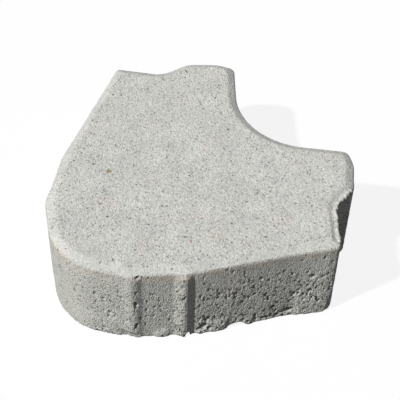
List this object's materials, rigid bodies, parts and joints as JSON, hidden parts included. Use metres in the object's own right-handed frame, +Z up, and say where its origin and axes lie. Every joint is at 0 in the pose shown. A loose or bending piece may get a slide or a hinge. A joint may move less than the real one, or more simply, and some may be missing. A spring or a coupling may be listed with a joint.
{
  "type": "concrete paving stone",
  "caption": "Interlocking concrete paving stone with a rounded nose, a matching bite between two horns, wavy shoulders, spacer ribs and a bevelled wearing face.",
  "frame": {"origin": "middle of the stone's box, on the base it lies on", "axes": "+Z up through the wearing face, -Y towards the rounded nose, +Y towards the two horns, X across the shoulders"},
  "size_m": [0.2, 0.18, 0.06],
  "materials": {
    "concrete": "pressed concrete, fine-grained wearing face, coarser sides"
  },
  "bodies": {
    "root": {"paving_stone": "concrete"}
  },
  "joints": []
}
